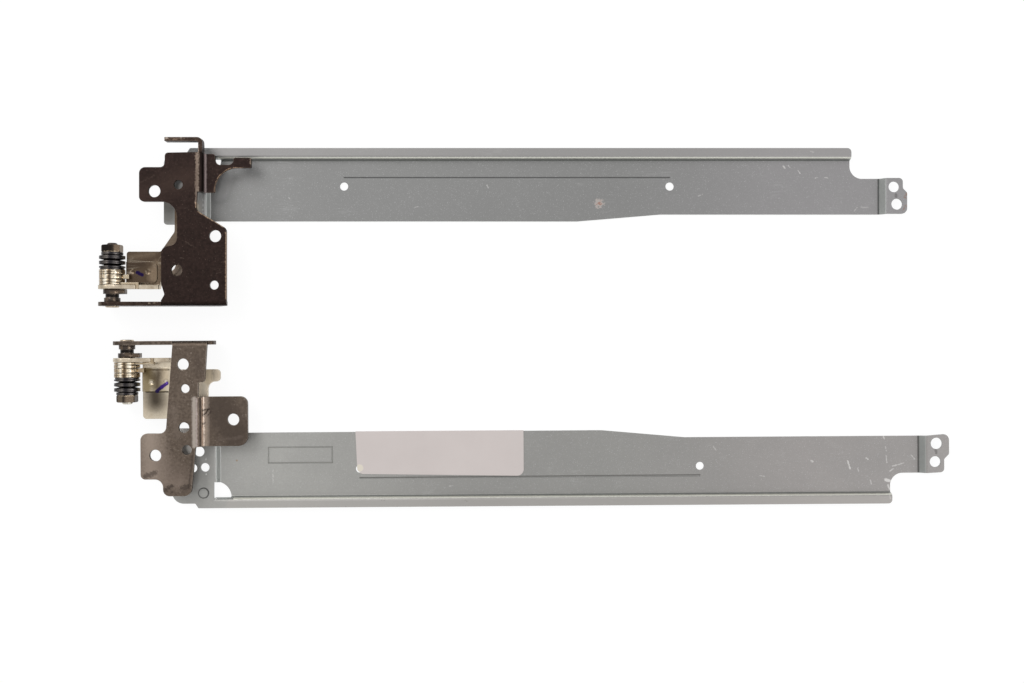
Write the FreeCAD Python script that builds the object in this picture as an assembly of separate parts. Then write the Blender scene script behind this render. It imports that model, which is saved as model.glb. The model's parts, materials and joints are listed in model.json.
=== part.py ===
import FreeCAD, Part
import math
import os
from types import SimpleNamespace as Sizes

from FreeCAD import Vector

# A pair of laptop hinges lying closed and flat, each with its long screen rail. Millimetres, +Z up.
# Each hinge is drawn in its own frame: x runs from its shaft axis along the rail, y runs from the
# outer face of the base bracket's ear towards the lock nut and the rail, z is up from the table.
# The lower hinge is a mirror image in kind, with its own plan sizes.

# Sheets and bends
rail_sheet = 0.6
lid_sheet = 1.2
base_sheet = 1.2
rail_bend = 0.4
bracket_bend = 0.4

# Levels of the rail: its web lies on the table, its ledge, left end and right tab stand above the web.
# A slope is the length in plan over which a joggle rises.
rail_raise = 2.0
ledge_slope = 0.6
end_slope = 0.9
tab_slope = 1.5
relief_bite = 0.1

# Features of the rail's outline and web
lobe_slope = 1.2
web_groove_width = 0.35
web_groove_depth = 0.25

# Knuckle: the shaft axis above the lid bracket's foot, and the round ends of both ears
axis_above_foot = 1.0
knuckle_radius = 4.0
running_clearance = 0.05
press_clearance = 0.03
face_gap = 0.1

# Shaft, from its riveted end in the base bracket's ear to its thread
shaft_radius = 2.2
shaft_flat = 1.65
thread_radius = 1.5
seat_radius = 1.7
upset_radius = 2.0
upset_height = 0.45
neck_radius = 2.35
neck_length = 1.25
neck_groove_radius = 1.95
neck_groove_length = 1.15
flange_radius = 2.6
flange_thickness = 1.35
lobe_reach = 4.1
lobe_width = 3.0
thread_stand_out = 0.6

# Discs on the shaft, in their order from the lid bracket's ear to the nut
disc_radius = 3.75
key_plate_thickness = 0.65
key_arm_reach = 8.5
key_arm_height = 0.4
key_arm_width = 1.5
key_lug_length = 0.9
key_lug_depth = 0.8
friction_disc_thickness = 0.9
fixed_cam_thickness = 1.3
turning_cam_thickness = 1.35
cam_lug_reach = 5.3
cam_lug_height = 1.4
cam_notch_depth = 0.5
cam_notches = ((-16.0, 1.1), (23.0, 0.5))
thrust_disc_radius = 3.5
thrust_disc_thickness = 0.55
spring_count = 5
spring_sheet = 0.45
spring_rise = 0.31
spring_gap = 0.02
washer_radius = 3.15
washer_thickness = 0.75
nut_across_flats = 5.5
nut_height = 2.2
nut_chamfer = 0.3

# Rivets that hold the lid bracket on the rail
rivet_radius = 0.9
rivet_head_radius = 1.3
rivet_head_height = 0.5
rivet_tail_radius = 1.15
rivet_tail_height = 0.3

# Base bracket: the low tab clears the rivets below it, the locating arm stands on edge
low_tab_clearance = 0.5
ear_corner = 3.0
arm_height = 2.6

# Lid bracket: what is pressed up out of its foot
pad_height = 0.5
pad_corner = 1.4
dimple_ball = 1.5
dimple_depth = 0.3
collar_width = 1.3
collar_height = 0.35

# Paper label
label_thickness = 0.15
label_corner = 2.0

# Where the two hinges lie: the gap between their ears, how far the lower axis lies to the right,
# and the small angle at which the lower hinge lies
pair_gap = 10.5
pair_offset = 4.4
lower_turn = 0.4

# How far a bend reaches from the outer corner of its two walls
lid_bend_reach = bracket_bend + lid_sheet
base_bend_reach = bracket_bend + base_sheet

# Levels
rail_top = rail_raise + rail_sheet
lid_top = rail_top + lid_sheet
axis_height = lid_top + axis_above_foot
plate_top = axis_height + knuckle_radius
plate_bottom = plate_top - base_sheet
low_tab_bottom = lid_top + rivet_head_height + low_tab_clearance
knuckle_bottom = axis_height - knuckle_radius

# Places along the shaft
flange_from = base_sheet + neck_length + neck_groove_length
lid_ear_from = flange_from + flange_thickness + face_gap
key_plate_from = lid_ear_from + lid_sheet + face_gap
friction_disc_from = key_plate_from + key_plate_thickness + face_gap
fixed_cam_from = friction_disc_from + friction_disc_thickness + face_gap
turning_cam_from = fixed_cam_from + fixed_cam_thickness + face_gap
thrust_disc_from = turning_cam_from + turning_cam_thickness
springs_from = thrust_disc_from + thrust_disc_thickness + spring_gap
spring_pitch = spring_sheet + spring_rise + spring_gap
washer_from = springs_from + spring_count * spring_pitch
nut_from = washer_from + washer_thickness
shaft_end = nut_from + nut_height + thread_stand_out
lid_foot_from = lid_ear_from + lid_bend_reach

# Rails. Each lies from its left end and its free edge. Holes are (from one end, from one edge, radius):
# web and end holes from the left end and the free edge, tab holes from the right end and the neck's
# top edge, the boss from the left end and the long edge. Outline corners are (x, y, corner radius).
upper_rail = Sizes(
    left=14.7, length=224.0, free=25.8, width=21.9,
    end_drop=1.2, lobe_length=10.5, end_length=12.45,
    corner_step=1.4, corner_length=7.0, corner_radius=3.5, ledge_width=3.3, relief_radius=4.8,
    taper_at=124.6, taper_length=25.2, taper=2.1, neck_length=16.8, neck_drop=9.0, notch_radius=3.8,
    tab_length=7.65, tab_step=1.3, tab_step_drop=4.4, tab_turn=0.0,
    tab_holes=((4.0, 2.7, 1.6), (3.1, 7.9, 1.65)),
    web_holes=((54.0, 10.6, 1.25), (152.7, 10.6, 1.25)), groove_offset=2.5,
    end_holes=((8.2, 7.8, 1.3), (9.6, 12.4, 1.3), (6.2, 13.8, 1.3)),
    boss=(9.3, 4.5, 1.45),
)
lower_rail = Sizes(
    left=12.5, length=234.2, free=28.0, width=22.5,
    end_drop=1.6, lobe_length=11.1, end_length=13.05,
    corner_step=1.4, corner_length=7.0, corner_radius=3.5, ledge_width=3.1, relief_radius=4.8,
    taper_at=129.7, taper_length=25.2, taper=2.3, neck_length=17.2, neck_drop=9.0, notch_radius=3.8,
    tab_length=8.25, tab_step=1.5, tab_step_drop=5.1, tab_turn=0.7,
    tab_holes=((3.8, 9.0, 1.72), (4.2, 3.5, 1.65)),
    web_holes=((56.3, 11.2, 1.2), (159.4, 11.0, 1.2)), groove_offset=2.6,
    end_holes=((8.3, 5.4, 1.5), (10.0, 10.2, 1.3), (6.3, 10.4, 1.3)),
    boss=(9.5, 4.6, 1.45),
)

# Lid brackets: a foot beside the discs, and a leg that reaches on over the rail's free edge. The
# rivets are measured from the leg's left edge and from its top edge.
upper_leg_overlap = 6.0
lower_leg_overlap = 3.3
upper_leg_left = 18.3
lower_leg_left = 18.7
upper_lid = Sizes(
    foot_left=3.95, ear_right=14.1, foot_top=16.4, foot_corner=0.8, leg_left=upper_leg_left,
    leg_top=upper_rail.free + upper_leg_overlap,
    leg_corner=1.2, leg_right=25.0, right_side=((25.0, 7.3, 2.0),),
    left_side=((upper_leg_left, 22.3, 2.5), (14.2, 16.4, 0.8)),
    pad_right=13.2, pad_low=6.9, pad_top=13.3, dimples=((5.9, 10.4), (10.5, 10.3)),
    hole=(16.65, 12.5, 2.05), rivets=((3.3, 4.9), (3.3, 1.5)),
)
lower_lid = Sizes(
    foot_left=4.3, ear_right=13.0, foot_top=23.4, foot_corner=1.1, leg_left=lower_leg_left,
    leg_top=lower_rail.free + lower_leg_overlap,
    leg_corner=1.2, leg_right=23.8, right_side=((27.5, 8.6, 1.2), (27.5, 12.3, 1.2), (23.8, 12.3, 2.2)),
    left_side=((lower_leg_left, 23.4, 1.5),),
    pad_right=13.9, pad_low=8.1, pad_top=15.2, dimples=((7.0, 12.4), (11.4, 12.1)),
    hole=(16.9, 13.9, 1.75), rivets=((1.6, 3.4), (3.5, 1.4)),
)

# Base brackets: plate, joggle and low tab. wall is the right face of the joggle's upright wall.
upper_joggle_from = 33.8
upper_joggle_to = 45.3
upper_base = Sizes(
    wall=28.0, joggle_from=upper_joggle_from, joggle_to=upper_joggle_to,
    plate_left=15.8, plate_right=35.1, ear_right=35.1, ear_low_right=31.2, ear_top_corner=0.0,
    left_side=(
        (16.8, 3.3, 0.9), (15.8, 6.5, 1.6), (15.8, 17.7, 2.2), (20.5, 17.7, 2.4),
        (20.5, 30.8, 4.6), (9.3, 30.8, 1.5), (9.3, 41.0, 1.8), (16.9, 41.0, 1.4),
        (16.9, upper_joggle_to, 1.0),
    ),
    right_side=((26.1, 28.3, 1.8), (35.1, 22.8, 1.6)),
    low_tab=(
        (30.9, upper_joggle_from, 0.4), (30.9, 41.2, 6.6), (41.8, 41.2, 0.4), (41.8, 44.2, 0.4),
        (36.6, 44.2, 0.4), (36.6, 42.1, 1.6), (31.0, 42.1, 1.6), (31.0, upper_joggle_to, 0.6),
    ),
    screw_holes=((13.8, 33.9, 1.8), (31.8, 20.6, 1.78), (20.4, 10.5, 1.67)),
    peg_holes=((20.9, 35.8, 1.33), (31.5, 6.1, 1.33)),
    arm_left=16.8, arm_top=49.9,
)
lower_joggle_from = 16.7
lower_joggle_to = 31.5
lower_wall = 23.0
lower_base = Sizes(
    wall=lower_wall, joggle_from=lower_joggle_from, joggle_to=lower_joggle_to,
    plate_left=14.7, plate_right=24.9, ear_right=26.3, ear_low_right=26.3, ear_top_corner=1.3,
    left_side=(
        (12.6, 27.4, 2.0), (5.1, 27.4, 2.0), (5.1, 41.0, 1.4), (11.7, 41.0, 2.4),
        (11.7, 46.0, 2.0), (20.0, 46.0, 2.4),
    ),
    right_side=((22.2, lower_joggle_from, 0.0), (22.2, 12.3, 0.6), (24.2, 12.3, 1.0)),
    low_tab=((36.2, lower_joggle_from, 2.2), (36.2, lower_joggle_to, 2.8)),
    screw_holes=((17.8, 7.0, 1.73), (18.0, 25.7, 1.55), (9.5, 33.9, 1.72), (31.9, 23.6, 1.75)),
    peg_holes=((18.4, 14.2, 1.33), (18.8, 32.3, 1.45)),
    arm_left=None, arm_top=None,
)

# The paper label on the lower rail, and the frame line pressed into the web beside it
label_from = 67.6
label_to = 118.5
label_depth = 12.7
label_fall = 0.9
label_slant = 0.5
frame_from = 41.0
frame_to = 60.7
frame_low = 32.3
frame_top = 37.4
frame_line = 0.4
frame_depth = 0.2


def in_plan(z):
    return lambda a, b: Vector(a, b, z)


def in_side(y):
    return lambda a, b: Vector(a, y, b)


def in_end(x):
    return lambda a, b: Vector(x, a, b)


def outline_wire(corners, place):
    # Closed wire through corners (a, b, radius), each rounded to its radius
    points = [Vector(a, b, 0) for a, b, _ in corners]
    spans = []
    for i, (_, _, radius) in enumerate(corners):
        here = points[i]
        if radius == 0:
            spans.append((here, None, here))
            continue
        back = (points[i - 1] - here).normalize()
        ahead = (points[(i + 1) % len(points)] - here).normalize()
        half = back.getAngle(ahead) / 2
        reach = radius / math.tan(half)
        middle = (back + ahead).normalize() * (radius / math.sin(half) - radius)
        spans.append((here + back * reach, here + middle, here + ahead * reach))
    edges = []
    for i, (start, middle, end) in enumerate(spans):
        if middle is not None:
            arc = [place(p.x, p.y) for p in (start, middle, end)]
            edges.append(Part.Arc(*arc).toShape())
        following = spans[(i + 1) % len(spans)][0]
        if (following - end).Length > 1e-6:
            edges.append(Part.makeLine(place(end.x, end.y), place(following.x, following.y)))
    return Part.Wire(edges)


def solid_of(corners, place, along):
    return Part.Face(outline_wire(corners, place)).extrude(along)


def plate(corners, bottom, thickness):
    return solid_of(corners, in_plan(bottom), Vector(0, 0, thickness))


def bent_sheet(line, sheet, inside, place, along):
    # Sheet bent along the middle line of its section, with one inside bend radius
    left = []
    right = []
    points = [Vector(a, b, 0) for a, b in line]
    for i, here in enumerate(points):
        before = here - points[i - 1] if i > 0 else points[1] - here
        after = points[i + 1] - here if i + 1 < len(points) else before
        normal_before = Vector(-before.y, before.x, 0).normalize()
        normal_after = Vector(-after.y, after.x, 0).normalize()
        turn = before.x * after.y - before.y * after.x
        offset = (normal_before + normal_after) * (sheet / 2 / (1 + normal_before.dot(normal_after)))
        near = 0.0
        far = 0.0
        if abs(turn) > 1e-9:
            near = inside
            far = inside + sheet
        left.append((here.x + offset.x, here.y + offset.y, near if turn > 0 else far))
        right.append((here.x - offset.x, here.y - offset.y, far if turn > 0 else near))
    return solid_of(left + right[::-1], place, along)


def drill(shape, holes, bottom, height):
    for x, y, radius in holes:
        shape = shape.cut(Part.makeCylinder(radius, height, Vector(x, y, bottom)))
    return shape


def joined(shapes):
    return shapes[0].fuse(shapes[1:]).removeSplitter()


def on_shaft(radius, start, length):
    return Part.makeCylinder(radius, length, Vector(0, start, axis_height), Vector(0, 1, 0))


def flatted(radius, half_width, start, length):
    # Round bar with one flat above and one below the axis
    bar = on_shaft(radius, start, length)
    corner = Vector(-radius, start, axis_height - half_width)
    return bar.common(Part.makeBox(2 * radius, length, 2 * half_width, corner))


def keyed_bore(start, length):
    return flatted(shaft_radius + press_clearance, shaft_flat + press_clearance, start, length)


def round_bore(start, length):
    return on_shaft(shaft_radius + running_clearance, start, length)


def round_edge_at(shape, y):
    # Round edge of a turned solid at one place along the shaft
    return next(e for e in shape.Edges if abs(e.BoundBox.YMin - y) + abs(e.BoundBox.YMax - y) < 1e-3)


def from_left(rail, holes):
    return tuple((rail.left + x, rail.free + y, radius) for x, y, radius in holes)


def from_tab(rail, holes):
    right = rail.left + rail.length
    top = rail.free + rail.width - rail.neck_drop
    return tuple((right - x, top - y, radius) for x, y, radius in holes)


def rivet_places(lid):
    return [(lid.leg_left + right, lid.leg_top - down) for right, down in lid.rivets]


def joggle_reach(slope):
    # How far the round of a rail's joggle reaches beyond the corner of its middle line
    return (rail_bend + rail_sheet / 2) * math.tan(math.atan2(rail_raise, slope) / 2)


def screen_rail(p, lid):
    low = rail_sheet / 2
    high = rail_raise + rail_sheet / 2
    right = p.left + p.length
    long_edge = p.free + p.width
    ledge_line = long_edge - p.ledge_width
    ledge_from = ledge_line + ledge_slope
    end_joggle = p.left + p.end_length
    tab_joggle = right - p.tab_length
    pan_left = end_joggle - joggle_reach(end_slope)
    pan_top = ledge_line - joggle_reach(ledge_slope)
    ledge_flat = ledge_from + joggle_reach(ledge_slope)
    end_low = p.free - p.end_drop

    # Along the rail: raised left end, web, raised right tab. The web ends below the ledge.
    lengthwise = [
        (p.left, high), (end_joggle, high), (end_joggle + end_slope, low), (tab_joggle, low),
        (tab_joggle + tab_slope, high), (right, high),
    ]
    along = Vector(0, ledge_flat - end_low, 0)
    pan = bent_sheet(lengthwise, rail_sheet, rail_bend, in_side(end_low), along)
    pan_right = end_joggle + end_slope
    pan = pan.cut(Part.makeBox(right, p.width, rail_top, Vector(pan_right, pan_top, 0)))

    # Across the rail: web, raised ledge
    ledge_end = right - p.neck_length
    crosswise = [(pan_top, low), (ledge_line, low), (ledge_from, high), (long_edge, high)]
    along = Vector(ledge_end - pan_left, 0, 0)
    ledge = bent_sheet(crosswise, rail_sheet, rail_bend, in_end(pan_left), along)
    corner_at = Vector(p.left, ledge_flat, rail_raise)
    corner = Part.makeBox(pan_left - p.left, long_edge - ledge_flat, rail_sheet, corner_at)
    rail = joined([pan, ledge, corner])

    lobe_to = p.left + p.lobe_length
    taper_from = p.left + p.taper_at
    tapered = p.free + p.taper
    neck_top = long_edge - p.neck_drop
    step_x = right - p.tab_step
    step_y = neck_top - p.tab_step_drop
    corner_x = p.left + p.corner_length
    corner_y = long_edge - p.corner_step
    blank = [
        (p.left, end_low, 1.0), (lobe_to, end_low, 0.5), (lobe_to + lobe_slope, p.free, 0.5),
        (taper_from, p.free, 12.0), (taper_from + p.taper_length, tapered, 12.0),
        (tab_joggle, tapered, 0.0), (right, tapered - p.tab_turn, 1.7),
        (right, step_y - p.tab_turn, 1.0), (step_x, step_y - p.tab_turn + p.tab_step, 1.0),
        (step_x, neck_top - p.tab_turn / 2, 1.2), (tab_joggle, neck_top, 0.0),
        (ledge_end, neck_top, p.notch_radius),
        (ledge_end, long_edge, 1.2), (corner_x + 0.9, long_edge, 0.4),
        (corner_x, corner_y, 0.4), (p.left, corner_y, p.corner_radius),
    ]
    rail = rail.common(plate(blank, 0, rail_top))

    # Relief where the two joggles would meet, with its round side towards the web
    relief_at = Vector(pan_left, ledge_line + relief_bite, 0)
    relief = Part.makeCylinder(p.relief_radius, rail_top, relief_at, Vector(0, 0, 1), 90)
    relief.rotate(relief_at, Vector(0, 0, 1), -90)
    shanks = tuple((x, y, rivet_radius + press_clearance) for x, y in rivet_places(lid))
    holes = from_tab(p, p.tab_holes) + from_left(p, p.web_holes + p.end_holes) + shanks
    rail = drill(rail.cut(relief), holes, 0, rail_top)

    (first_x, first_y, _), (last_x, _, _) = from_left(p, p.web_holes)
    groove_at = Vector(first_x, first_y + p.groove_offset, rail_sheet - web_groove_depth)
    groove = Part.makeBox(last_x - first_x, web_groove_width, web_groove_depth, groove_at)

    # Boss pressed half through the sheet
    boss_right, boss_down, boss_radius = p.boss
    boss_x = p.left + boss_right
    boss_y = long_edge - boss_down
    half = rail_sheet / 2
    boss = Part.makeCylinder(boss_radius, half, Vector(boss_x, boss_y, rail_top))
    pocket = Part.makeCylinder(boss_radius, half, Vector(boss_x, boss_y, rail_raise))
    return joined([rail.cut(groove).cut(pocket), boss])


def pressed_frame():
    # Shallow line pressed round a rectangle in the lower rail's web
    length = frame_to - frame_from
    width = frame_top - frame_low
    bottom = rail_sheet - frame_depth
    outer = Part.makeBox(length, width, frame_depth, Vector(frame_from, frame_low, bottom))
    corner = Vector(frame_from + frame_line, frame_low + frame_line, bottom)
    return outer.cut(Part.makeBox(length - 2 * frame_line, width - 2 * frame_line, frame_depth, corner))


def lid_bracket(p):
    right = list(p.right_side)
    outline = [(p.foot_left, lid_foot_from, 0.0), (p.ear_right, lid_foot_from, 0.0)]
    outline += [(p.ear_right, right[0][1], 0.0)] + right
    outline += [
        (p.leg_right, p.leg_top, p.leg_corner), (p.leg_left, p.leg_top, p.leg_corner), *p.left_side,
        (p.foot_left, p.foot_top, p.foot_corner),
    ]
    foot = plate(outline, rail_top, lid_sheet)

    # The pad is pressed up out of the foot, so the same form is sunk below it
    wall = lid_sheet / 2
    pad = [
        (p.foot_left, p.pad_low, 0.0), (p.pad_right, p.pad_low, pad_corner),
        (p.pad_right, p.pad_top, pad_corner), (p.foot_left, p.pad_top, 0.0),
    ]
    sunk = [
        (p.foot_left, p.pad_low + wall, 0.0), (p.pad_right - wall, p.pad_low + wall, pad_corner - wall),
        (p.pad_right - wall, p.pad_top - wall, pad_corner - wall), (p.foot_left, p.pad_top - wall, 0.0),
    ]
    foot = foot.cut(plate(sunk, rail_top, pad_height))
    hole_x, hole_y, hole_radius = p.hole
    collar_at = Vector(hole_x, hole_y, lid_top)
    collar = Part.makeCylinder(hole_radius + collar_width, collar_height, collar_at)

    # The ear stands on edge: a round end about the shaft, and a top edge that falls to the foot
    ear_low = rail_top + lid_bend_reach
    ear = [
        (p.foot_left, ear_low, 0.0), (p.ear_right, ear_low, 0.0), (p.ear_right, ear_low + 0.6, 0.5),
        (knuckle_radius * 0.55, plate_top, knuckle_radius * 0.9),
        (-knuckle_radius, plate_top, knuckle_radius), (-knuckle_radius, knuckle_bottom, knuckle_radius),
        (p.foot_left, knuckle_bottom, knuckle_radius * 0.8),
    ]
    ear = solid_of(ear, in_side(lid_ear_from), Vector(0, lid_sheet, 0))
    ear_middle = lid_ear_from + lid_sheet / 2
    foot_middle = rail_top + lid_sheet / 2
    fold = [(lid_foot_from, foot_middle), (ear_middle, foot_middle), (ear_middle, ear_low)]
    along = Vector(p.ear_right - p.foot_left, 0, 0)
    fold = bent_sheet(fold, lid_sheet, bracket_bend, in_end(p.foot_left), along)
    bracket = joined([foot, plate(pad, lid_top, pad_height), collar, fold, ear])

    bracket = bracket.cut(round_bore(lid_ear_from, lid_sheet))
    bracket = bracket.cut(key_lug(press_clearance, knuckle_radius))
    shanks = [(x, y, rivet_radius + press_clearance) for x, y in rivet_places(p)]
    bracket = drill(bracket, [p.hole] + shanks, rail_top, lid_sheet + collar_height)
    for x, y in p.dimples:
        centre = Vector(x, y, lid_top + pad_height + dimple_ball - dimple_depth)
        bracket = bracket.cut(Part.makeSphere(dimple_ball, centre))
    return bracket


def key_lug(slack, depth):
    # Lug that drops into the notch in the lid bracket's ear, larger all round by the slack
    arm_top = axis_height + key_arm_height + key_arm_width
    corner = Vector(key_arm_reach - key_lug_length - slack, lid_ear_from, arm_top - key_lug_depth - slack)
    length = key_plate_from + key_plate_thickness - lid_ear_from
    return Part.makeBox(key_lug_length + 2 * slack, length, depth, corner)


def key_plate():
    disc = on_shaft(disc_radius, key_plate_from, key_plate_thickness)
    arm_at = Vector(0, key_plate_from, axis_height + key_arm_height)
    arm = Part.makeBox(key_arm_reach, key_plate_thickness, key_arm_width, arm_at)
    plate_and_lug = joined([disc, arm, key_lug(0, key_lug_depth)])
    return plate_and_lug.cut(round_bore(key_plate_from, key_plate_thickness))


def keyed_disc(radius, start, thickness):
    return on_shaft(radius, start, thickness).cut(keyed_bore(start, thickness))


def notched_disc(start, thickness):
    disc = on_shaft(disc_radius, start, thickness)
    for angle, width in cam_notches:
        corner = Vector(-width / 2, start, axis_height + disc_radius - cam_notch_depth)
        slot = Part.makeBox(width, thickness, 2 * cam_notch_depth, corner)
        slot.rotate(Vector(0, start, axis_height), Vector(0, 1, 0), angle)
        disc = disc.cut(slot)
    return disc


def fixed_cam():
    # Kept from turning by a lug that rests on the lid bracket's pad
    disc = notched_disc(fixed_cam_from, fixed_cam_thickness)
    lug_at = Vector(0, fixed_cam_from, lid_top + pad_height + press_clearance)
    lug = Part.makeBox(cam_lug_reach, fixed_cam_thickness, cam_lug_height, lug_at)
    return joined([disc, lug]).cut(round_bore(fixed_cam_from, fixed_cam_thickness))


def turning_cam():
    disc = notched_disc(turning_cam_from, turning_cam_thickness)
    return disc.cut(keyed_bore(turning_cam_from, turning_cam_thickness))


def disc_springs():
    # Cupped rings stacked rim to rim and hub to hub
    inner = shaft_radius + running_clearance
    rings = []
    for i in range(spring_count):
        start = springs_from + i * spring_pitch
        rim = start + spring_rise * (i % 2)
        hub = start + spring_rise * (1 - i % 2)
        section = [
            (inner, hub, 0.0), (disc_radius, rim, 0.0),
            (disc_radius, rim + spring_sheet, 0.0), (inner, hub + spring_sheet, 0.0),
        ]
        face = Part.Face(outline_wire(section, in_plan(axis_height)))
        rings.append(face.revolve(Vector(0, 0, axis_height), Vector(0, 1, 0), 360))
    return Part.makeCompound(rings)


def lock_nut():
    corner = nut_across_flats / math.sqrt(3)
    turns = [math.radians(90 + 60 * i) for i in range(6)]
    hexagon = [(corner * math.cos(t), axis_height + corner * math.sin(t), 0.0) for t in turns]
    prism = solid_of(hexagon, in_side(nut_from), Vector(0, nut_height, 0))
    blank = on_shaft(corner + nut_chamfer, nut_from, nut_height)
    ends = [round_edge_at(blank, nut_from), round_edge_at(blank, nut_from + nut_height)]
    bore = on_shaft(thread_radius + press_clearance, nut_from, nut_height)
    return prism.common(blank.makeChamfer(2 * nut_chamfer, ends)).cut(bore)


def shaft():
    upset = on_shaft(upset_radius, -upset_height, upset_height)
    upset = upset.makeFillet(upset_height * 0.8, [round_edge_at(upset, -upset_height)])
    seat = on_shaft(seat_radius, 0, base_sheet)
    neck = on_shaft(neck_radius, base_sheet, neck_length)
    groove = on_shaft(neck_groove_radius, base_sheet + neck_length, neck_groove_length)
    flange = on_shaft(flange_radius, flange_from, flange_thickness)
    lobe_low = axis_height - lobe_width / 2
    lobe = [
        (0.0, lobe_low, 0.0), (lobe_reach, lobe_low, 0.5),
        (lobe_reach, lobe_low + lobe_width, 0.5), (0.0, lobe_low + lobe_width, 0.0),
    ]
    lobe = solid_of(lobe, in_side(flange_from), Vector(0, flange_thickness, 0))
    bar_from = flange_from + flange_thickness
    bar = flatted(shaft_radius, shaft_flat, bar_from, nut_from - bar_from)
    thread = on_shaft(thread_radius, nut_from, shaft_end - nut_from)
    thread = thread.makeChamfer(thread_stand_out / 2, [round_edge_at(thread, shaft_end)])
    return joined([upset, seat, neck, groove, flange, lobe, bar, thread])


def rail_rivets(lid):
    rivets = []
    tail = rail_raise - rivet_tail_height
    for x, y in rivet_places(lid):
        head = Part.makeCone(
            rivet_head_radius, rivet_head_radius * 0.75, rivet_head_height, Vector(x, y, lid_top)
        )
        shank = Part.makeCylinder(rivet_radius, lid_top - tail, Vector(x, y, tail))
        foot = Part.makeCylinder(rivet_tail_radius, rivet_tail_height, Vector(x, y, tail))
        rivets.append(joined([head, shank, foot]))
    return Part.makeCompound(rivets)


def base_bracket(p):
    high = plate_bottom + base_sheet / 2
    low = low_tab_bottom + base_sheet / 2
    wall_left = p.wall - base_bend_reach
    wall_middle = p.wall - base_sheet / 2
    wall_right = p.wall + bracket_bend
    outline = [(p.plate_left, base_bend_reach, 0.0)] + list(p.left_side)
    outline += [(wall_left, p.joggle_to, 0.0), (wall_left, p.joggle_from, 0.0)]
    outline += list(p.right_side) + [(p.plate_right, base_bend_reach, 0.0)]
    pieces = [plate(outline, plate_bottom, base_sheet)]

    # Joggle down to the low tab
    step = [(wall_left, high), (wall_middle, high), (wall_middle, low), (wall_right, low)]
    along = Vector(0, p.joggle_to - p.joggle_from, 0)
    pieces.append(bent_sheet(step, base_sheet, bracket_bend, in_side(p.joggle_from), along))
    tab = [(wall_right, p.joggle_from, 0.0)] + list(p.low_tab) + [(wall_right, p.joggle_to, 0.0)]
    pieces.append(plate(tab, low_tab_bottom, base_sheet))

    # Bend down to the ear, which carries the shaft in its round end
    fold_low = plate_top - base_bend_reach
    fold = [(base_bend_reach, high), (base_sheet / 2, high), (base_sheet / 2, fold_low)]
    along = Vector(p.plate_right - p.plate_left, 0, 0)
    pieces.append(bent_sheet(fold, base_sheet, bracket_bend, in_end(p.plate_left), along))
    ear = [
        (p.plate_left, plate_top, 0.0), (-knuckle_radius, plate_top, knuckle_radius),
        (-knuckle_radius, knuckle_bottom, knuckle_radius), (p.ear_low_right, knuckle_bottom, ear_corner),
        (p.ear_right, fold_low, p.ear_top_corner), (p.plate_left, fold_low, 0.0),
    ]
    pieces.append(solid_of(ear, in_side(0), Vector(0, base_sheet, 0)))

    # Locating arm: the joggle's wall runs on and turns to the left, on edge
    if p.arm_top is not None:
        arm_middle = p.arm_top - base_sheet / 2
        arm = [(wall_middle, p.joggle_to), (wall_middle, arm_middle), (p.arm_left, arm_middle)]
        up = Vector(0, 0, arm_height)
        pieces.append(bent_sheet(arm, base_sheet, bracket_bend, in_plan(plate_top - arm_height), up))

    bracket = joined(pieces)
    bracket = bracket.cut(on_shaft(seat_radius + press_clearance, 0, base_sheet))
    return drill(bracket, p.screw_holes + p.peg_holes, low_tab_bottom, plate_top - low_tab_bottom)


def paper_label():
    # Stuck on the web and folded down over the rail's free edge
    free = lower_rail.free
    on_web = [
        (label_from, free, 0.0), (label_from, free - label_thickness, 0.0),
        (label_to, free - label_thickness, 0.0),
        (label_to, free + label_depth + label_fall, label_corner),
        (label_from + label_slant, free + label_depth, label_corner),
    ]
    on_edge = Part.makeBox(
        label_to - label_from, label_thickness, rail_sheet, Vector(label_from, free - label_thickness, 0)
    )
    return joined([plate(on_web, rail_sheet, label_thickness), on_edge])


def hinge(rail, lid, base):
    return {
        "screen_rail": screen_rail(rail, lid),
        "lid_bracket": lid_bracket(lid),
        "rail_rivets": rail_rivets(lid),
        "base_bracket": base_bracket(base),
        "shaft": shaft(),
        "key_plate": key_plate(),
        "friction_disc": keyed_disc(disc_radius, friction_disc_from, friction_disc_thickness),
        "fixed_cam": fixed_cam(),
        "turning_cam": turning_cam(),
        "thrust_disc": keyed_disc(thrust_disc_radius, thrust_disc_from, thrust_disc_thickness),
        "disc_springs": disc_springs(),
        "washer": keyed_disc(washer_radius, washer_from, washer_thickness),
        "lock_nut": lock_nut(),
    }


def lay_lower(shape):
    # Mirror image of the drawing frame, a pair gap below the upper ear, turned a little on the table
    shape = shape.mirror(Vector(0, 0, 0), Vector(0, 1, 0))
    shape.rotate(Vector(0, 0, 0), Vector(0, 0, 1), lower_turn)
    shape.translate(Vector(pair_offset, -pair_gap, 0))
    return shape


upper = hinge(upper_rail, upper_lid, upper_base)
lower = hinge(lower_rail, lower_lid, lower_base)
lower["screen_rail"] = lower["screen_rail"].cut(pressed_frame())
lower["paper_label"] = paper_label()

nodes = {"upper_" + name: shape for name, shape in upper.items()}
nodes.update({"lower_" + name: lay_lower(shape) for name, shape in lower.items()})

# The origin is under the middle of the pair
around = Part.makeCompound(list(nodes.values())).BoundBox
to_origin = Vector(-around.Center.x, -around.Center.y, -around.ZMin)

os.makedirs("parts", exist_ok=True)
for name, shape in nodes.items():
    shape.translate(to_origin)
    shape.exportStep(f"parts/{name}.step")
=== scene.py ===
import json
import math

import bpy
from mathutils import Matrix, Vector
from mathutils.bvhtree import BVHTree


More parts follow.
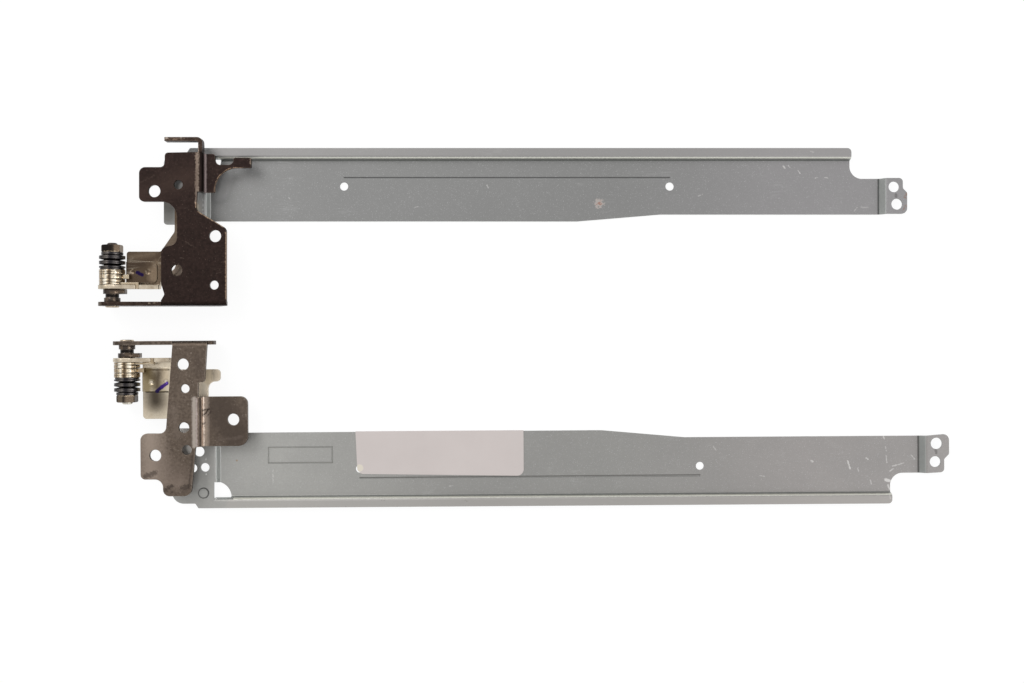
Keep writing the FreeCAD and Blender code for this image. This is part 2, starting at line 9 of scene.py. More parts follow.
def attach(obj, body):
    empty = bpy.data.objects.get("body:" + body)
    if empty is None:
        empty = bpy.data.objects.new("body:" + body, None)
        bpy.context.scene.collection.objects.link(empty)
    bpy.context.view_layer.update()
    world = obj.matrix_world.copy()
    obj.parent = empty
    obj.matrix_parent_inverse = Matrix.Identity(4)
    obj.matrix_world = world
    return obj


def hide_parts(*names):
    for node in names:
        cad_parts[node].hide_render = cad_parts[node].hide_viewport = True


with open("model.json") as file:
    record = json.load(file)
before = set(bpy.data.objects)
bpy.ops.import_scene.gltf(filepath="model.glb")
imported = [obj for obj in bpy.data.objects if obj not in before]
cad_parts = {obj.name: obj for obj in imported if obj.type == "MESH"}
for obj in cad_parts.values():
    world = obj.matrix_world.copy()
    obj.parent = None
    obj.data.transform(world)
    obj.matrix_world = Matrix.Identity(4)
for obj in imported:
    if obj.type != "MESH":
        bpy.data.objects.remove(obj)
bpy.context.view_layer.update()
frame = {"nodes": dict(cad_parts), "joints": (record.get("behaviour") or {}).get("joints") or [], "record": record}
mm = 0.001
nodes = frame["nodes"]
bodies = frame["record"]["behaviour"]["bodies"]
bodyOf = {node: body for body, names in bodies.items() for node in names}
hingeLines = {joint["name"].split("_")[0]: joint for joint in frame["joints"]}
print("frame loaded:", len(nodes), "nodes")


def hingePoint(side, x, y):
    # millimetres in plan, x along the rail and y along the shaft from a hinge's own axis
    axis = Vector(hingeLines[side]["axis"])
    alongRail = Vector((-axis.y, axis.x, 0))
    alongShaft = -axis if side == "upper" else axis
    place = Vector(hingeLines[side]["pos_m"]) / mm + alongRail * x + alongShaft * y
    place.z = 0.0
    return place


# Nodes and links
def addNode(tree, kind, inputs=None, **settings):
    node = tree.nodes.new("ShaderNode" + kind)
    for name, value in settings.items():
        setattr(node, name, value)
    for socket, value in (inputs or {}).items():
        if isinstance(value, bpy.types.NodeSocket):
            tree.links.new(value, node.inputs[socket])
        else:
            node.inputs[socket].default_value = value
    return node


def calculate(tree, operation, a, b=0.0, c=0.0, clamp=False):
    inputs = {0: a, 1: b, 2: c}
    return addNode(tree, "Math", inputs, operation=operation, use_clamp=clamp).outputs[0]


def combine(tree, operation, a, b, output="Vector"):
    return addNode(tree, "VectorMath", {0: a, 1: b}, operation=operation).outputs[output]


def mapped(tree, value, low, high):
    # 0 at low, 1 at high, held beyond
    inputs = {"Value": value, "From Min": low, "From Max": high}
    return addNode(tree, "MapRange", inputs, interpolation_type="SMOOTHSTEP").outputs[0]


def newGroup(name, inputs, outputs):
    group = bpy.data.node_groups.new(name, "ShaderNodeTree")
    for socket, value in inputs.items():
        kind = "NodeSocketVector" if isinstance(value, tuple) else "NodeSocketFloat"
        made = group.interface.new_socket(socket, in_out="INPUT", socket_type=kind)
        made.default_value = value
    for socket in outputs:
        group.interface.new_socket(socket, in_out="OUTPUT", socket_type="NodeSocketFloat")
    start = group.nodes.new("NodeGroupInput")
    end = group.nodes.new("NodeGroupOutput")
    return group, start.outputs, end.inputs


def millimetres(tree, stretch=(1.0, 1.0, 1.0), turn=0.0, shift=(0.0, 0.0, 0.0)):
    coordinates = addNode(tree, "TexCoord").outputs["Object"]
    scale = tuple(s / mm for s in stretch)
    mapping = {"Vector": coordinates, "Scale": scale, "Rotation": (0.0, 0.0, turn), "Location": shift}
    return addNode(tree, "Mapping", mapping).outputs[0]


# Effects that several finishes share
middle = 0.5  # of a noise, and of a mask


def tarnishGroup():
    # soft clouds, about as much with stain as without
    group, given, result = newGroup("tarnish", {"Size": 4.0, "Contrast": 3.0, "Seed": 0.0}, ["Mask"])
    rate = calculate(group, "DIVIDE", 1.0, given["Size"])
    noise = addNode(group, "TexNoise", {
        "Vector": millimetres(group), "W": given["Seed"], "Scale": rate, "Detail": 5.0, "Roughness": 0.62,
    }, noise_dimensions="4D").outputs[0]
    away = calculate(group, "SUBTRACT", noise, middle)
    spread = calculate(group, "MULTIPLY_ADD", away, given["Contrast"], middle, clamp=True)
    group.links.new(spread, result["Mask"])
    return group


def speckleGroup():
    # Grain is a fine noise and Mask its highest specks, more of them with a larger Amount
    rarest, reach, steepness = 0.8, 0.3, 9.0
    inputs = {"Size": 0.3, "Amount": 0.3, "Seed": 0.0}
    group, given, result = newGroup("speckle", inputs, ["Mask", "Grain"])
    rate = calculate(group, "DIVIDE", 1.0, given["Size"])
    fine = addNode(group, "TexNoise", {
        "Vector": millimetres(group), "W": given["Seed"], "Scale": rate, "Detail": 2.0,
    }, noise_dimensions="4D").outputs[0]
    lowered = calculate(group, "MULTIPLY", given["Amount"], reach)
    floorLevel = calculate(group, "SUBTRACT", rarest, lowered)
    above = calculate(group, "SUBTRACT", fine, floorLevel)
    group.links.new(calculate(group, "MULTIPLY", above, steepness, clamp=True), result["Mask"])
    group.links.new(fine, result["Grain"])
    return group


def scratchGroup():
    # fine long lines in three directions, shown in patches only
    length, along = 9.0, 0.5
    runs = [(0.35, 2.2), (1.9, 2.9), (2.7, 2.5)]  # turn in radians, fineness across
    patchSteepness, patchOffset = 8.0, -4.6
    group, given, result = newGroup("scratches", {"Width": 0.02, "Seed": 0.0}, ["Mask"])
    lines = []
    for turn, across in runs:
        stretched = millimetres(group, (along, across / along, 1.0), turn)
        noise = addNode(group, "TexNoise", {
            "Vector": stretched, "W": given["Seed"], "Scale": 1.0 / length, "Detail": 1.0,
        }, noise_dimensions="4D").outputs[0]
        off = calculate(group, "ABSOLUTE", calculate(group, "SUBTRACT", noise, middle))
        line = calculate(group, "SUBTRACT", 1.0, calculate(group, "DIVIDE", off, given["Width"]), clamp=True)
        moved = millimetres(group, shift=(across, turn, 0.0))
        patch = addNode(group, "TexNoise", {"Vector": moved, "Scale": 0.12, "Detail": 1.0}).outputs[0]
        shown = calculate(group, "MULTIPLY_ADD", patch, patchSteepness, patchOffset, clamp=True)
        lines.append(calculate(group, "MULTIPLY", line, shown))
    both = calculate(group, "MAXIMUM", lines[0], lines[1])
    group.links.new(calculate(group, "MAXIMUM", both, lines[2]), result["Mask"])
    return group


def edgeGroup():
    # wear where a rounded normal leaves the true one, broken up by a noise
    breakup, steepness, level = 0.6, 4.0, 0.7
    group, given, result = newGroup("edgeWear", {"Radius": 0.2, "Gain": 3.0}, ["Mask"])
    radius = calculate(group, "MULTIPLY", given["Radius"], mm)
    rounded = addNode(group, "Bevel", {"Radius": radius}, samples=6).outputs[0]
    normal = addNode(group, "NewGeometry").outputs["Normal"]
    along = combine(group, "DOT_PRODUCT", rounded, normal, "Value")
    bend = calculate(group, "MULTIPLY", calculate(group, "SUBTRACT", 1.0, along), given["Gain"], clamp=True)
    noise = addNode(group, "TexNoise", {"Vector": millimetres(group), "Scale": 1.3, "Detail": 4.0}).outputs[0]
    off = calculate(group, "SUBTRACT", noise, middle)
    ragged = calculate(group, "MULTIPLY_ADD", off, steepness, level, clamp=True)
    shown = calculate(group, "MULTIPLY_ADD", ragged, breakup, 1.0 - breakup)
    group.links.new(calculate(group, "MULTIPLY", bend, shown), result["Mask"])
    return group


def strokeGroup():
    # mark along a line between two places, seen from above, with a soft, ragged rim
    plan = (1.0, 1.0, 0.0)
    shortest, noiseSwing = 0.0001, 2.0
    group, given, result = newGroup("stroke", {
        "Start": (0.0, 0.0, 0.0), "End": (0.0, 0.0, 0.0), "Width": 1.0, "Softness": 0.3, "Ragged": 0.3,
        "Low": -1.0, "High": 100.0, "Ring": 0.0,
    }, ["Mask"])
    place = millimetres(group)
    away = combine(group, "MULTIPLY", combine(group, "SUBTRACT", place, given["Start"]), plan)
    line = combine(group, "MULTIPLY", combine(group, "SUBTRACT", given["End"], given["Start"]), plan)
    along = combine(group, "DOT_PRODUCT", away, line, "Value")
    square = combine(group, "DOT_PRODUCT", line, line, "Value")
    share = calculate(group, "DIVIDE", along, calculate(group, "MAXIMUM", square, shortest), clamp=True)
    nearest = addNode(group, "VectorMath", {0: line, "Scale": share}, operation="SCALE").outputs[0]
    distance = combine(group, "DISTANCE", away, nearest, "Value")
    distance = calculate(group, "ABSOLUTE", calculate(group, "SUBTRACT", distance, given["Ring"]))
    noise = addNode(group, "TexNoise", {"Vector": place, "Scale": 1.6, "Detail": 4.0}).outputs[0]
    wander = calculate(group, "MULTIPLY", calculate(group, "SUBTRACT", noise, middle), given["Ragged"])
    distance = calculate(group, "MULTIPLY_ADD", wander, noiseSwing, distance)
    rim = calculate(group, "MULTIPLY", given["Width"], 0.5)
    inside = calculate(group, "DIVIDE", calculate(group, "SUBTRACT", rim, distance), given["Softness"])
    mask = calculate(group, "ADD", inside, middle, clamp=True)
    height = addNode(group, "SeparateXYZ", {0: place}).outputs[2]
    above = calculate(group, "GREATER_THAN", height, given["Low"])
    below = calculate(group, "LESS_THAN", height, given["High"])
    kept = calculate(group, "MULTIPLY", above, below)
    group.links.new(calculate(group, "MULTIPLY", mask, kept), result["Mask"])
    return group


effects = {
    "tarnish": tarnishGroup(), "speckle": speckleGroup(), "scratches": scratchGroup(),
    "edge": edgeGroup(), "stroke": strokeGroup(),
}


def effect(tree, name, inputs, output="Mask"):
    node = tree.nodes.new("ShaderNodeGroup")
    node.node_tree = effects[name]
    for socket, value in inputs.items():
        node.inputs[socket].default_value = value
    return node.outputs[output]


def tint(tree, below, mask, colour, strength=1.0):
    factor = calculate(tree, "MULTIPLY", mask, strength, clamp=True)
    mix = tree.nodes.new("ShaderNodeMix")
    mix.data_type = "RGBA"
    tree.links.new(factor, mix.inputs[0])
    for socket, value in ((6, below), (7, colour)):  # the node's two colours
        if isinstance(value, bpy.types.NodeSocket):
            tree.links.new(value, mix.inputs[socket])
        else:
            mix.inputs[socket].default_value = (*value, 1.0)
    return mix.outputs[2]


def linear(*seen):
    # a colour as seen on the screen, 0 to 255, turned into light
    return tuple(((c / 255 + 0.055) / 1.055) ** 2.4 if c > 10 else c / 255 / 12.92 for c in seen)


def stroke(
    side, start, end, width, colour, strength=1.0, soft=0.3, ragged=0.3,
    low=-1.0, high=100.0, ring=0.0, dull=0.0,
):
    # start and end in a hinge's own millimetres, seen only between the heights low and high;
    # with a ring it is a circle of that radius about its start, and dull takes away the metal's shine
    return dict(
        start=hingePoint(side, *start), end=hingePoint(side, *end), width=width, colour=linear(*colour),
        strength=strength, soft=soft, ragged=ragged, low=low, high=high, ring=ring, dull=dull,
    )


def addMarks(tree, colour, marks, shader):
    for mark in marks:
        mask = effect(tree, "stroke", {
            "Start": mark["start"], "End": mark["end"], "Width": mark["width"], "Softness": mark["soft"],
            "Ragged": mark["ragged"], "Low": mark["low"], "High": mark["high"], "Ring": mark["ring"],
        })
        colour = tint(tree, colour, mask, mark["colour"], mark["strength"])
        if mark["dull"]:
            metal = calculate(tree, "MULTIPLY_ADD", mask, -mark["dull"], 1.0)
            for link in list(shader.inputs["Metallic"].links):
                metal = calculate(tree, "MULTIPLY", metal, link.from_socket)
            tree.links.new(metal, shader.inputs["Metallic"])
    return colour


plainMetal = dict(
    cloudContrast=3.0, mottleSize=0.9, mottleContrast=4.0, mottleAmount=0.25, mottleHeight=0.5,
    speckSize=0.3, speckAmount=0.3, speckStrength=0.2, grainRoughness=0.25, edgeRadius=0.2, edgeGain=3.0,
    scratchWidth=0.012, scratchStrength=0.3, scratchDepth=0.4, bumpDepth=0.03,
    mottleSeed=3.0, speckSeed=5.0, scratchSeed=7.0, marks=[],
)


def metalFinish(name, given):
    look = dict(plainMetal, **given)
    material = bpy.data.materials.new(name)
    material.use_nodes = True
    tree = material.node_tree
    shader = tree.nodes["Principled BSDF"]
    seed = look["seed"]
    cloud = effect(tree, "tarnish", {
        "Size": look["cloudSize"], "Contrast": look["cloudContrast"], "Seed": seed,
    })
    colour = look["colour"]
    if "farColour" in look:
        # painted light: the rail's tone changes along its length, from one end through the middle to the other
        alongRail = addNode(tree, "SeparateXYZ", {0: millimetres(tree)}).outputs[0]
        colour = tint(tree, colour, mapped(tree, alongRail, *look["toMid"]), look["midColour"])
        colour = tint(tree, colour, mapped(tree, alongRail, *look["toFar"]), look["farColour"])
        # painted light: faces that slope are tinted lighter
        facing = addNode(tree, "SeparateXYZ", {0: addNode(tree, "NewGeometry").outputs["Normal"]}).outputs[2]
        colour = tint(tree, colour, mapped(tree, facing, *look["toSlope"]), look["slopeColour"])
    colour = tint(tree, colour, cloud, look["stain"], look["stainAmount"])
    mottle = effect(tree, "tarnish", {
        "Size": look["mottleSize"], "Contrast": look["mottleContrast"], "Seed": seed + look["mottleSeed"],
    })
    colour = tint(tree, colour, mottle, look["stain"], look["mottleAmount"])
    speck = {"Size": look["speckSize"], "Amount": look["speckAmount"], "Seed": seed + look["speckSeed"]}
    specks = effect(tree, "speckle", speck)
    grain = effect(tree, "speckle", speck, "Grain")
    colour = tint(tree, colour, specks, look["bright"], look["speckStrength"])
    lines = effect(tree, "scratches", {"Width": look["scratchWidth"], "Seed": seed + look["scratchSeed"]})
    colour = tint(tree, colour, lines, look["bright"], look["scratchStrength"])
    edges = effect(tree, "edge", {"Radius": look["edgeRadius"], "Gain": look["edgeGain"]})
    colour = tint(tree, colour, edges, look.get("edgeColour", look["bright"]), look["edgeStrength"])
    shader.inputs["Metallic"].default_value = 1.0
    colour = addMarks(tree, colour, look["marks"], shader)
    tree.links.new(colour, shader.inputs["Base Color"])
    low, high = look["roughness"]
    rough = calculate(tree, "MULTIPLY_ADD", cloud, high - low, low)
    offGrain = calculate(tree, "SUBTRACT", grain, middle)
    rough = calculate(tree, "MULTIPLY_ADD", offGrain, look["grainRoughness"], rough, clamp=True)
    tree.links.new(rough, shader.inputs["Roughness"])
    height = calculate(tree, "MULTIPLY_ADD", lines, -look["scratchDepth"], grain)
    height = calculate(tree, "MULTIPLY_ADD", mottle, look["mottleHeight"], height)
    bump = addNode(tree, "Bump", {
        "Height": height, "Strength": look["bump"], "Distance": look["bumpDepth"] * mm,
    })
    tree.links.new(bump.outputs[0], shader.inputs["Normal"])
    return material


# What the pieces look like
webTop, ledgeFoot, footTop, plateFoot = 0.7, 1.2, 4.1, 7.0  # heights in millimetres that part the surfaces
rail = dict(
    stain=linear(130, 130, 129), bright=linear(206, 206, 206), slopeColour=linear(184, 187, 184),
    cloudSize=32.0, cloudContrast=2.0, stainAmount=0.4, mottleSize=0.6, mottleAmount=0.14,
    speckSize=0.26, speckAmount=0.7, speckStrength=0.35, edgeStrength=0.3, edgeRadius=0.12,
    roughness=(0.5, 0.58), bump=0.3, scratchStrength=0.1,
    toMid=(-80.0, -20.0), toFar=(20.0, 90.0),  # millimetres along x where the painted light changes
    toSlope=(0.86, 0.74),  # upward part of a normal, level to sloping, where the painted light on slopes comes in
)
scuff = (198, 196, 194)
upperScuffs = [  # start, end, width, strength
    ((201.8, 42.6), (202.4, 41.8), 0.3, 0.8), ((203.3, 42.7), (203.9, 42.2), 0.26, 0.7),
    ((206.3, 41.2), (206.9, 40.4), 0.3, 0.7), ((211.4, 39.0), (212.3, 39.1), 0.26, 0.6),
    ((214.4, 39.1), (215.2, 39.0), 0.26, 0.6), ((209.6, 46.7), (210.5, 46.4), 0.3, 0.6),
    ((223.4, 29.0), (224.2, 30.0), 0.3, 0.5), ((225.4, 30.2), (227.6, 30.0), 0.26, 0.35),
    ((90.0, 30.0), (91.2, 30.3), 0.24, 0.4), ((112.0, 36.8), (112.5, 35.9), 0.24, 0.4),
    ((176.0, 33.5), (177.3, 33.9), 0.24, 0.4), ((52.0, 33.0), (52.6, 32.2), 0.24, 0.4),
]
lowerScuffs = [
    ((216.7, 37.8), (217.4, 40.2), 0.4, 0.85), ((223.5, 43.6), (223.9, 44.8), 0.3, 0.55),
    ((227.6, 30.4), (227.9, 31.2), 0.34, 0.75), ((228.3, 36.2), (228.6, 38.4), 0.3, 0.55),
    ((228.2, 43.6), (229.2, 43.9), 0.9, 0.95), ((228.8, 45.2), (229.3, 46.4), 0.5, 0.8),
    ((228.6, 47.8), (229.0, 49.2), 0.36, 0.6), ((236.0, 36.2), (237.0, 37.4), 0.34, 0.6),
    ((230.4, 39.4), (233.6, 38.6), 0.3, 0.6), ((229.6, 41.0), (230.6, 40.2), 0.36, 0.7),
    ((222.4, 37.0), (222.8, 37.3), 0.4, 0.8), ((228.2, 33.6), (228.4, 34.8), 0.24, 0.5),
    ((42.5, 39.4), (42.5, 43.0), 0.24, 0.5), ((205.6, 37.6), (206.0, 37.9), 0.5, 0.7),
    ((219.6, 39.9), (220.0, 40.9), 0.26, 0.5), ((96.0, 44.6), (97.0, 44.4), 0.24, 0.4),
    ((176.0, 33.0), (176.8, 34.2), 0.24, 0.4), ((190.0, 42.0), (191.4, 42.3), 0.24, 0.4),
]
lowerPits = [
    (64.8, 50.3), (75.6, 48.5), (76.4, 48.5), (80.3, 50.4), (84.1, 50.5), (100.8, 48.6), (101.3, 48.9),
]
rustColour = (134, 92, 68)


def scuffs(side, given):
    return [stroke(side, a, b, width, scuff, strength, 0.15, 0.4) for a, b, width, strength in given]


def paintedGlints(side, x, spans, colour, strength):
    # painted highlights: bright glints in a row across the rail
    return [stroke(side, (x, y), (x, to), 0.22, colour, strength, 0.15, 0.3) for y, to in spans]


# Marks, painted light and painted shade: start, end, width, colour, strength, softness and raggedness of the rim
upperRailMarks = scuffs("upper", upperScuffs) + [
    # painted shade: dark lines in the web's groove, at the ledge's foot and in the tab's bend
    stroke("upper", (68.7, 39.1), (167.4, 39.1), 0.36, (88, 88, 88), 0.75, 0.15, 0.05, high=webTop),
    stroke("upper", (31.0, 44.25), (221.8, 44.25), 0.4, (104, 106, 102), 0.5, 0.25, 0.1, high=ledgeFoot),
    stroke("upper", (230.65, 28.0), (230.65, 38.6), 0.5, (66, 68, 66), 0.85, 0.3, 0.05),
    stroke("upper", (31.0, 47.0), (222.0, 47.0), 4.4, (160, 157, 156), 0.45, 1.0, 0.1, low=ledgeFoot),
    stroke("upper", (16.0, 27.0), (16.0, 31.0), 3.8, (106, 104, 98), 0.7, 1.6, 0.2),
    # painted light: a lighter patch where the hook's shadow falls, then a highlight along the ledge's slope
    stroke("upper", (31.0, 34.5), (32.6, 39.5), 3.0, (206, 206, 206), 0.5, 3.0, 0.2, high=ledgeFoot),
    stroke("upper", (31.0, 44.8), (221.8, 44.8), 0.45, (240, 240, 230), 0.9, 0.2, 0.1, low=0.8),
    stroke("upper", (146.0, 31.25), (146.0, 31.25), 2.7, (178, 169, 164), 0.7, 0.5, 1.7),
    stroke("upper", (146.0, 31.2), (146.2, 31.3), 0.9, (150, 108, 92), 0.75, 0.4, 1.4),
    stroke("upper", (238.2, 32.8), (238.7, 34.2), 0.5, rustColour, 0.5, 0.5, 1.4),
    stroke("upper", (237.4, 29.2), (238.6, 30.4), 0.3, rustColour, 0.4, 0.4, 1.2),
    stroke("upper", (235.3, 33.0), (235.3, 33.6), 0.8, (84, 82, 80), 0.5, 0.25, 0.3),
    # painted light: the rail's end under the plate lightened, and where it is seen through the plate's peg hole
    stroke("upper", (25.4, 26.5), (25.4, 33.5), 2.6, (226, 226, 224), 0.9, 1.2, 0.1),
    stroke("upper", (20.9, 35.8), (20.9, 35.8), 3.4, (238, 236, 234), 0.95, 0.8, 0.1, dull=0.8),
]
upperRailMarks += paintedGlints("upper", 26.5, [(28.0, 29.2), (30.2, 30.9), (31.8, 32.6)], (250, 250, 250), 0.9)
lowerRailMarks = scuffs("lower", lowerScuffs)
lowerRailMarks += [stroke("lower", place, place, 0.28, (66, 62, 46), 0.8, 0.2, 0.2) for place in lowerPits]
lowerRailMarks += [
    # painted shade: dark lines in the web's groove, at the ledge's foot and in the tab's bend
    stroke("lower", (68.8, 41.85), (171.9, 41.65), 0.36, (96, 95, 92), 0.75, 0.15, 0.05, high=webTop),
    stroke("lower", (31.0, 47.2), (229.3, 47.2), 0.3, (112, 112, 108), 0.4, 0.25, 0.1, high=ledgeFoot),
    stroke("lower", (238.1, 27.8), (238.1, 41.4), 0.5, (72, 72, 70), 0.85, 0.3, 0.05),
    stroke("lower", (31.0, 50.0), (230.0, 50.0), 4.6, (174, 170, 166), 0.5, 1.0, 0.1, low=ledgeFoot),
    stroke("lower", (242.6, 34.2), (242.8, 35.4), 0.7, (80, 78, 76), 0.5, 0.25, 0.4),
    # painted highlight along the ledge's slope
    stroke("lower", (31.0, 47.7), (229.3, 47.7), 0.45, (240, 240, 230), 0.9, 0.2, 0.1, low=0.8),
    stroke("lower", (22.0, 45.9), (22.0, 45.9), 0.35, (72, 72, 70), 0.85, 0.2, 0.1, ring=1.5),
    stroke("lower", (22.0, 45.9), (22.0, 45.9), 2.0, (176, 176, 172), 0.35, 0.8, 0.2),
    # painted light: the rail lightened where it is seen through holes under the plate and beside the plate's edge
    stroke("lower", (18.8, 32.3), (18.8, 32.3), 3.6, (236, 234, 230), 0.9, 0.8, 0.1, dull=0.8),
    stroke("lower", (16.2, 27.4), (16.2, 27.4), 4.0, (244, 242, 238), 0.95, 0.8, 0.1, dull=0.9),
    stroke("lower", (21.5, 36.0), (20.7, 43.0), 2.0, (206, 206, 202), 0.5, 2.4, 0.2, low=ledgeFoot),
    stroke("lower", (31.57, 36.4), (31.57, 36.4), 0.5, (150, 122, 92), 0.7, 0.25, 0.2),
]
lowerGlints = [(35.4, 35.9), (36.9, 37.3), (38.4, 38.9), (40.0, 40.3)]
lowerRailMarks += paintedGlints("lower", 22.8, lowerGlints, (236, 236, 234), 0.8)
pressedCorners = [(41.2, 32.5), (60.5, 32.5), (60.5, 37.2), (41.2, 37.2)]  # of the pressed rectangle
# painted shade in the pressed rectangle's groove
lowerRailMarks += [
    stroke("lower", pressedCorners[i - 1], corner, 0.36, (108, 108, 102), 0.4, 0.15, 0.05, high=webTop)
    for i, corner in enumerate(pressedCorners)
]
plating = dict(
    cloudSize=9.0, cloudContrast=2.2, stainAmount=0.5, mottleSize=0.8, mottleAmount=0.85,
    speckSize=0.42, speckAmount=0.55, speckStrength=0.4, edgeStrength=0.6, edgeRadius=0.26, edgeGain=8.0,
    roughness=(0.36, 0.5), bump=0.35, scratchStrength=0.08, scratchWidth=0.008,
)
upperBaseMarks = [
    # painted light and shade: highlights along the plate's bend, a dark band on the wall, and lit strips at the
    # low tab's bend
    stroke("upper", (26.45, 30.2), (26.45, 47.4), 0.95, (124, 109, 98), 0.8, 0.4, 0.8, low=plateFoot),
    stroke("upper", (26.8, 33.6), (26.8, 46.6), 0.3, (160, 144, 130), 0.6, 0.3, 0.6, low=plateFoot),
    stroke("upper", (27.75, 33.6), (27.75, 45.4), 0.9, (34, 28, 26), 0.8, 0.3, 0.2, low=7.2),
    stroke("upper", (28.0, 33.9), (28.0, 45.2), 1.2, (134, 121, 119), 0.85, 0.2, 0.2, high=7.1),
    stroke("upper", (28.65, 33.9), (28.65, 45.2), 0.3, (222, 212, 210), 0.9, 0.2, 0.2, high=6.0),
    stroke("upper", (41.6, 42.4), (41.6, 43.7), 0.2, (150, 134, 120), 0.5, 0.4, 0.6),
    # painted highlights along the right-facing edges and the low tab's rounded edge
    stroke("upper", (26.2, 30.5), (26.25, 29.0), 0.3, (176, 150, 126), 0.7, 0.2, 0.4, low=plateFoot),
    stroke("upper", (26.9, 27.9), (34.2, 23.4), 0.4, (176, 150, 126), 0.75, 0.2, 0.4),
    stroke("upper", (35.05, 21.6), (35.05, 2.0), 0.3, (150, 126, 106), 0.7, 0.2, 0.5),
    stroke("upper", (37.5, 34.6), (37.5, 34.6), 0.3, (168, 140, 116), 0.75, 0.2, 0.5, high=6.4, ring=6.55),
    stroke("upper", (12.2, 0.8), (12.6, 0.8), 0.3, (150, 138, 120), 0.7, 0.3, 0.6),
    stroke("upper", (13.7, 0.8), (14.0, 0.8), 0.3, (126, 114, 99), 0.6, 0.3, 0.6),
    stroke("upper", (8.0, 49.3), (22.5, 49.3), 0.3, (118, 100, 86), 0.5, 0.4, 1.2),
    stroke("upper", (17.5, 49.7), (17.5, 49.7), 0.9, (150, 140, 130), 0.7, 0.3, 0.4),
    stroke("upper", (21.8, 49.6), (21.8, 49.6), 0.5, (150, 140, 130), 0.6, 0.3, 0.4),
    # painted highlight: the ear's left end lighter
    stroke("upper", (-4.2, 0.6), (0.0, 0.6), 1.4, (116, 104, 92), 0.7, 1.2, 0.6, high=8.3),
    stroke("upper", (8.2, 35.6), (14.0, 38.6), 0.25, (78, 66, 60), 0.4, 0.3, 0.6),
    stroke("upper", (23.0, 19.0), (26.0, 17.2), 0.22, (82, 70, 64), 0.4, 0.3, 0.6),
    stroke("upper", (21.4, 14.2), (22.6, 14.0), 0.25, (92, 80, 74), 0.4, 0.3, 0.6),
    stroke("upper", (10.0, 33.0), (24.0, 38.0), 6.0, (62, 50, 45), 0.5, 5.0, 1.0, low=plateFoot),
]
lowerBaseMarks = [
    stroke("lower", (8.0, 28.5), (8.6, 39.0), 7.0, (156, 142, 130), 0.75, 5.5, 2.0, low=plateFoot),
    stroke("lower", (12.6, 41.8), (16.8, 42.4), 2.6, (142, 128, 117), 0.5, 3.0, 1.2, low=plateFoot),
    stroke("lower", (11.0, 36.0), (17.0, 41.0), 6.0, (120, 107, 98), 0.5, 5.0, 2.0, low=plateFoot),
    stroke("lower", (28.0, 20.0), (32.0, 28.0), 9.0, (72, 63, 57), 0.75, 4.0, 1.5, high=plateFoot),
    # painted light and shade: highlights along the plate's bend, a dark line at its foot, and lit strips on the
    # wall and the low tab
    stroke("lower", (21.1, 17.2), (21.1, 31.2), 1.2, (172, 162, 153), 0.8, 0.6, 0.4, low=plateFoot),
    stroke("lower", (21.8, 17.2), (21.8, 31.2), 0.4, (176, 162, 156), 0.8, 0.3, 0.3, low=plateFoot),
    stroke("lower", (22.5, 17.2), (22.5, 31.2), 0.3, (60, 52, 48), 0.8, 0.2, 0.2, low=7.6),
    stroke("lower", (23.0, 17.2), (23.0, 31.2), 0.7, (232, 216, 202), 0.85, 0.3, 0.5, high=7.8),
    stroke("lower", (23.6, 17.2), (23.6, 31.2), 1.0, (184, 168, 154), 0.8, 1.9, 0.5, high=6.4),
    stroke("lower", (22.6, 22.9), (24.6, 20.4), 0.3, (46, 38, 34), 0.85, 0.3, 0.9, high=plateFoot),
    stroke("lower", (23.0, 20.9), (25.0, 20.3), 0.3, (48, 40, 36), 0.8, 0.3, 0.9, high=plateFoot),
    stroke("lower", (24.0, 22.6), (25.2, 21.4), 0.26, (52, 44, 40), 0.7, 0.3, 0.9, high=plateFoot),
    stroke("lower", (22.7, 25.0), (23.5, 24.4), 0.3, (58, 50, 46), 0.7, 0.3, 0.8, high=plateFoot),
    stroke("lower", (6.6, 40.0), (9.4, 39.0), 1.4, (74, 65, 59), 0.7, 0.5, 1.0),
    stroke("lower", (12.7, 43.9), (14.4, 42.9), 1.0, (64, 56, 51), 0.75, 0.5, 1.3),
    stroke("lower", (14.0, 44.7), (14.4, 44.6), 0.5, (64, 56, 51), 0.7, 0.4, 0.9),
    stroke("lower", (17.6, 43.7), (18.9, 43.1), 1.6, (66, 58, 53), 0.7, 0.6, 1.5),
    stroke("lower", (20.5, 34.0), (19.3, 44.0), 0.4, (60, 52, 48), 0.6, 0.4, 0.5),
    stroke("lower", (27.4, 29.6), (34.4, 28.8), 0.8, (98, 87, 80), 0.5, 0.7, 1.2),
    stroke("lower", (15.0, 20.0), (16.0, 28.0), 2.0, (118, 106, 97), 0.4, 2.0, 1.0, low=plateFoot),
    stroke("lower", (22.0, 5.0), (23.0, 9.0), 1.6, (78, 68, 62), 0.5, 1.4, 1.4, low=plateFoot),
]
nickel = dict(
    bright=linear(246, 236, 216), cloudSize=6.0, stainAmount=0.35, mottleSize=0.5, mottleAmount=0.3,
    edgeStrength=0.5, roughness=(0.26, 0.42), bump=0.25, scratchStrength=0.2,
)
